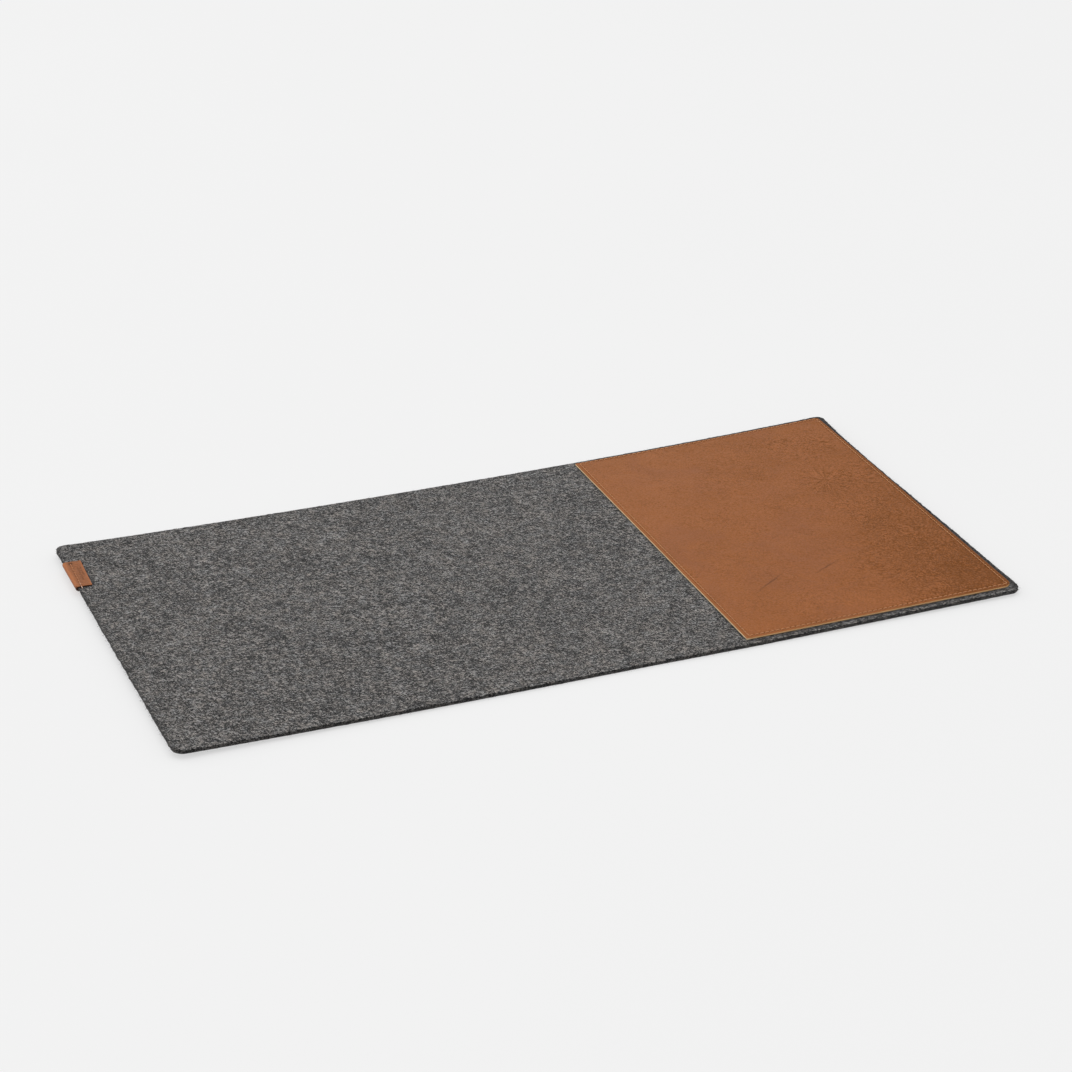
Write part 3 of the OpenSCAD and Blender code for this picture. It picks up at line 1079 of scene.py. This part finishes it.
TAG_ASKEW = 1.0 * MM
TAG_SLIP = 0.7  # the furrow's share of that; the rest comes as the fold narrows the flap

RULES = (  # two plain pressed lines: distance from the flap's end, middle and length along it
    (4.6 * MM, -1.0 * MM, 20 * MM),
    (2.6 * MM, 3.0 * MM, 12 * MM),
)


def askew(y):
    """How far the tag's seam strays from its true line: it is sewn a little askew."""
    return -TAG_ASKEW * (TAG[1][1] - y) / (TAG[1][1] - TAG[0][1])


def fold(points):
    """Bends the flat strip round the felt's edge: u runs along the strip from the end of
    the lower flap to the end of the upper one, w is the height through the leather."""
    u, y, w = points[:, 0], points[:, 1], points[:, 2]
    radius = TAG_MID + w - TAG_THICK / 2
    turned = np.clip((u - TAG_FLAP) / TAG_ARC, 0, 1) * math.pi
    x = TAG_X - radius * np.sin(turned)
    z = TAG_Z - radius * np.cos(turned)
    lower = np.maximum(TAG_FLAP - u, 0)
    upper = np.maximum(u - TAG_FLAP - TAG_ARC, 0)
    x = x + lower + upper * (1 + 1.4 * askew(y) / TAG_FLAP)  # the flap is narrower at the front
    return np.column_stack([x, y, z])


def pressed_rules(u, y):
    """1 on the two pressed lines, 0 away from them."""
    middle = (TAG[0][1] + TAG[1][1]) / 2
    total = np.zeros(np.broadcast(u, y).shape)
    for inset, shift, length in RULES:
        off = np.abs(y - middle - shift)
        along = 1 - smooth(length / 2 - 0.3 * MM, length / 2 + 0.3 * MM, off)
        total = np.maximum(total, bell(u - (TAG_CUT - inset), 0.5 * MM) * along)
    return total


def nearest_tag_hole(y):
    step = np.clip(np.round((TAG_FIRST - y) / TAG_PITCH), 0, TAG_HOLES - 1)
    return TAG_FIRST - step * TAG_PITCH


def tag_top(u, y):
    """The grain side of the flat strip, with the seam's furrow and the debossed rules."""
    w = np.full(np.broadcast(u, y).shape, TAG_THICK)
    hole = nearest_tag_hole(y)
    for seam in (TAG_SEAM_U + TAG_SLIP * askew(y), TAG_LOWER_SEAM_U - askew(y)):
        w = w - 0.20 * MM * bell(u - seam, 0.6 * MM)
        w = w - 0.35 * MM * bell(np.hypot(u - seam, y - hole), 0.45 * MM)
    w = w - 0.16 * MM * pressed_rules(u, y)
    edge = np.minimum(np.minimum(u, TAG_CUT - u), np.minimum(y - TAG[0][1], TAG[1][1] - y))
    return w - 0.12 * MM * bell(edge, 0.6 * MM) + 0.02 * MM * ripple(u, y, 6 * MM, 21)


def tag_bottom(u, y):
    return 0 * u


def paint_tag(piece, points, place):
    """Where the tag is cut and debossed, with painted highlights along its fold and its flap's end, and
    painted shade away from them, in its holes and in its fold's hollow.
    """
    u, y = points[:, :2].T
    cut = smooth(0.03, 0.16, place)
    to_edge = np.minimum(TAG_CUT - u, np.abs(u - TAG_FLAP - 0.8 * TAG_ARC))
    flap_middle = smooth(0, 4 * MM, to_edge)
    # painted shade: in the tag's first hole, in its other holes and in the hollow of its fold at the
    # front end
    first = bell(np.hypot(u - TAG_SEAM_U, y - TAG_FIRST + 0.6 * MM), 1.15 * MM)
    holes = bell(np.hypot(u - TAG_SEAM_U - TAG_SLIP * askew(y), y - nearest_tag_hole(y)), 0.7 * MM)
    in_fold = smooth(TAG_FLAP - 1 * MM, TAG_FLAP, u) * (1 - smooth(-1.6 * MM, 0, u - TAG_FLAP - TAG_ARC))
    mouth = in_fold * bell(y - TAG[0][1], 2.0 * MM)
    paint(
        piece,
        cut=cut,
        # painted highlight along the fold and the flap's end
        rim=(0.2 + 0.8 * bell(to_edge, 0.9 * MM)) * (1 - cut),
        # the debossed rules, and painted shade away from the edges
        shade=(0.16 * flap_middle + 0.80 * pressed_rules(u, y)) * (1 - cut),
        # painted shade in the holes and the fold's hollow
        hole=np.max([np.minimum(1, 2.2 * first), 0.95 * mouth, 0.7 * holes], 0),
    )


def build_tag(material):
    low, high = np.array([0, TAG[0][1]]), np.array([TAG_CUT, TAG[1][1]])
    coarse = 2
    rim = TAG_WALL[0][0] * MM
    beside_seams = near([TAG_SEAM_U, TAG_LOWER_SEAM_U], np.array([-0.5, -0.25, 0, 0.25, 0.5]) * MM)
    us = padded_lines(lines(low[0] + rim, high[0] - rim, 0.36 * MM, beside_seams), coarse)
    ys = padded_lines(lines(low[1] + rim, high[1] - rim, 0.40 * MM), coarse)
    points, faces, place = closed_sheet(
        us, ys, low, high, [0.3 * MM] * 4, TAG_WALL, tag_top, tag_bottom, coarse
    )
    piece = make_piece("tag_leather_strip", fold(points), faces)
    paint_tag(piece, points, place)
    finish_piece(piece, material, "leather_tag")
    return piece


def tag_rows(surface, off_surface, below):
    """The tag's stitches from its back hole to the one that runs off its front end."""
    rows = []
    for i in range(TAG_HOLES - 1):
        level = surface if i < TAG_HOLES - 2 else (surface + off_surface) / 2
        y = TAG_FIRST - i * TAG_PITCH
        rows.append((TAG_SEAM_X + askew(y), y, -math.pi / 2, TAG_PITCH, level, below))
    return rows


# ---------- every piece

PANEL_DYES = {
    "tan": (0.336, 0.115, 0.0355),
    "deep": (0.141, 0.041, 0.001),
    "rim": ((0.330, 0.107, 0.031), (0.280, 0.094, 0.024)),
    "raw": (0.92, 0.69, 0.42),
}
TAG_DYES = {
    "tan": (0.325, 0.125, 0.052),
    "deep": (0.150, 0.056, 0.023),
    "rim": ((0.46, 0.165, 0.062), (0.40, 0.138, 0.050)),
    # dark cut edge: partly a dark edge colour, partly painted shade for the hollow of the fold
    "raw": (0.05, 0.018, 0.008),
}
MARKS = (  # how far across and back on the panel, angle, length, width, strength
    (0.244, 0.224, 33, 40 * MM, 1.2 * MM, 0.62),
    (0.478, 0.247, 28, 32 * MM, 1.2 * MM, 0.55),
    (0.560, 0.161, 6, 12 * MM, 1.8 * MM, 0.26),
    (0.637, 0.139, 14, 10 * MM, 1.8 * MM, 0.22),
    (0.532, 0.571, 70, 6 * MM, 2.2 * MM, 0.24),
    (0.183, 0.847, -45, 84 * MM, 2.0 * MM, 0.12),
)
WHORL = (PANEL[1][0] - 45 * MM, PANEL[1][1] - 101 * MM, 30 * MM)  # x, y and size

PANEL_FURROW = PANEL_TOP - 0.12 * MM  # height of the leather where its thread pulls it in
TAG_FURROW = TAG[1][2] - 0.1 * MM

felt = build_felt(felt_material())
fuzz = build_fuzz(fibre_material())
panel = build_panel(leather_material("panel_leather", PANEL_DYES, MARKS, WHORL))
panel_thread = thread_material("panel_thread", (0.66, 0.33, 0.155), (0.36, 0.15, 0.06))
panel_seam = build_seam(
    "panel", panel_thread, seam_rows(PANEL_FURROW, 1.0 * MM), seam_rows(-UNDER_FURROW, UNDER_DEPTH)
)
tag = build_tag(leather_material("tag_leather", TAG_DYES))
tag_thread = thread_material("tag_thread", (0.58, 0.27, 0.13), (0.30, 0.11, 0.045))
tag_seam = build_seam(
    "tag", tag_thread, tag_rows(TAG_FURROW, FELT_TOP, 0.9 * MM),
    tag_rows(-UNDER_FURROW, -UNDER_FURROW, UNDER_DEPTH),
)


# ---------- floor, lights, camera

DESK_SIZE = 16.0
DESK_GAP = 0.2 * MM  # the desk is this far below the mat, so that the two don't touch
DESK_GLOW = 0.545    # keeps the mat's shadow faint

LIGHTS = (  # name, place, width and depth, power
    ("overhead", (0.1, 0.5, 6.0), (6.5, 5.0), 112),
    ("back_left", (-2.4, 4.0, 2.2), (3.2, 1.6), 26),
    ("left", (-4.8, -1.8, 2.6), (3.6, 2.4), 36),
)

CAMERA_AIM = (0.0248, 0.0538, 0.0)
CAMERA_DISTANCE = 2.0832
CAMERA_AZIMUTH = math.radians(-22.51)
CAMERA_ELEVATION = math.radians(26.68)
CAMERA_ROLL = math.radians(0.44)
CAMERA_LENS = 98.2  # millimetres on a sensor 36 wide


def build_floor():
    """A pale desk that glows a little."""
    half = DESK_SIZE / 2
    mesh = bpy.data.meshes.new("desk_top")
    corners = [(-half, -half, 0), (half, -half, 0), (half, half, 0), (-half, half, 0)]
    mesh.from_pydata(corners, [], [(0, 1, 2, 3)])
    floor = add_object("desk_top", mesh)
    floor.location.z = -DESK_GAP
    n = Nodes("pale_floor")
    n.surface({
        "Base Color": n.mix(n.noise(3.0), (0.30, 0.30, 0.30), (0.31, 0.31, 0.31)),
        "Emission Color": (1.0, 1.0, 1.0),
        "Emission Strength": DESK_GLOW,
        "Roughness": 0.9,
        "Specular IOR Level": 0.0,
    })
    mesh.materials.append(n.material)


def build_lights():
    """A white room and three soft lights, all turned to the middle of the mat."""
    world = bpy.data.worlds.new("studio")
    bpy.context.scene.world = world
    world.use_nodes = True
    background = world.node_tree.nodes["Background"]
    background.inputs["Color"].default_value = (1.0, 1.0, 1.0, 1)
    background.inputs["Strength"].default_value = 0.80
    for name, place, (width, depth), power in LIGHTS:
        data = bpy.data.lights.new(name, "AREA")
        data.shape = "RECTANGLE"
        data.size = width
        data.size_y = depth
        data.energy = power
        light = add_object(name, data)
        light.location = place
        light.rotation_euler = (-Vector(place)).to_track_quat("-Z", "Y").to_euler()


def build_camera():
    """Looks at the mat from its front left, from above."""
    data = bpy.data.cameras.new("camera")
    data.lens = CAMERA_LENS
    data.sensor_width = 36.0
    data.clip_start = 0.1
    data.clip_end = 50.0
    camera = add_object("camera", data)
    turn = (
        Matrix.Rotation(CAMERA_AZIMUTH, 4, "Z")
        @ Matrix.Rotation(math.pi / 2 - CAMERA_ELEVATION, 4, "X")
        @ Matrix.Rotation(CAMERA_ROLL, 4, "Z")
    )
    back = turn.to_3x3() @ Vector((0, 0, 1))
    camera.matrix_world = Matrix.Translation(Vector(CAMERA_AIM) + back * CAMERA_DISTANCE) @ turn
    bpy.context.scene.camera = camera


build_floor()
build_lights()
build_camera()
bpy.context.scene.view_settings.view_transform = "Standard"
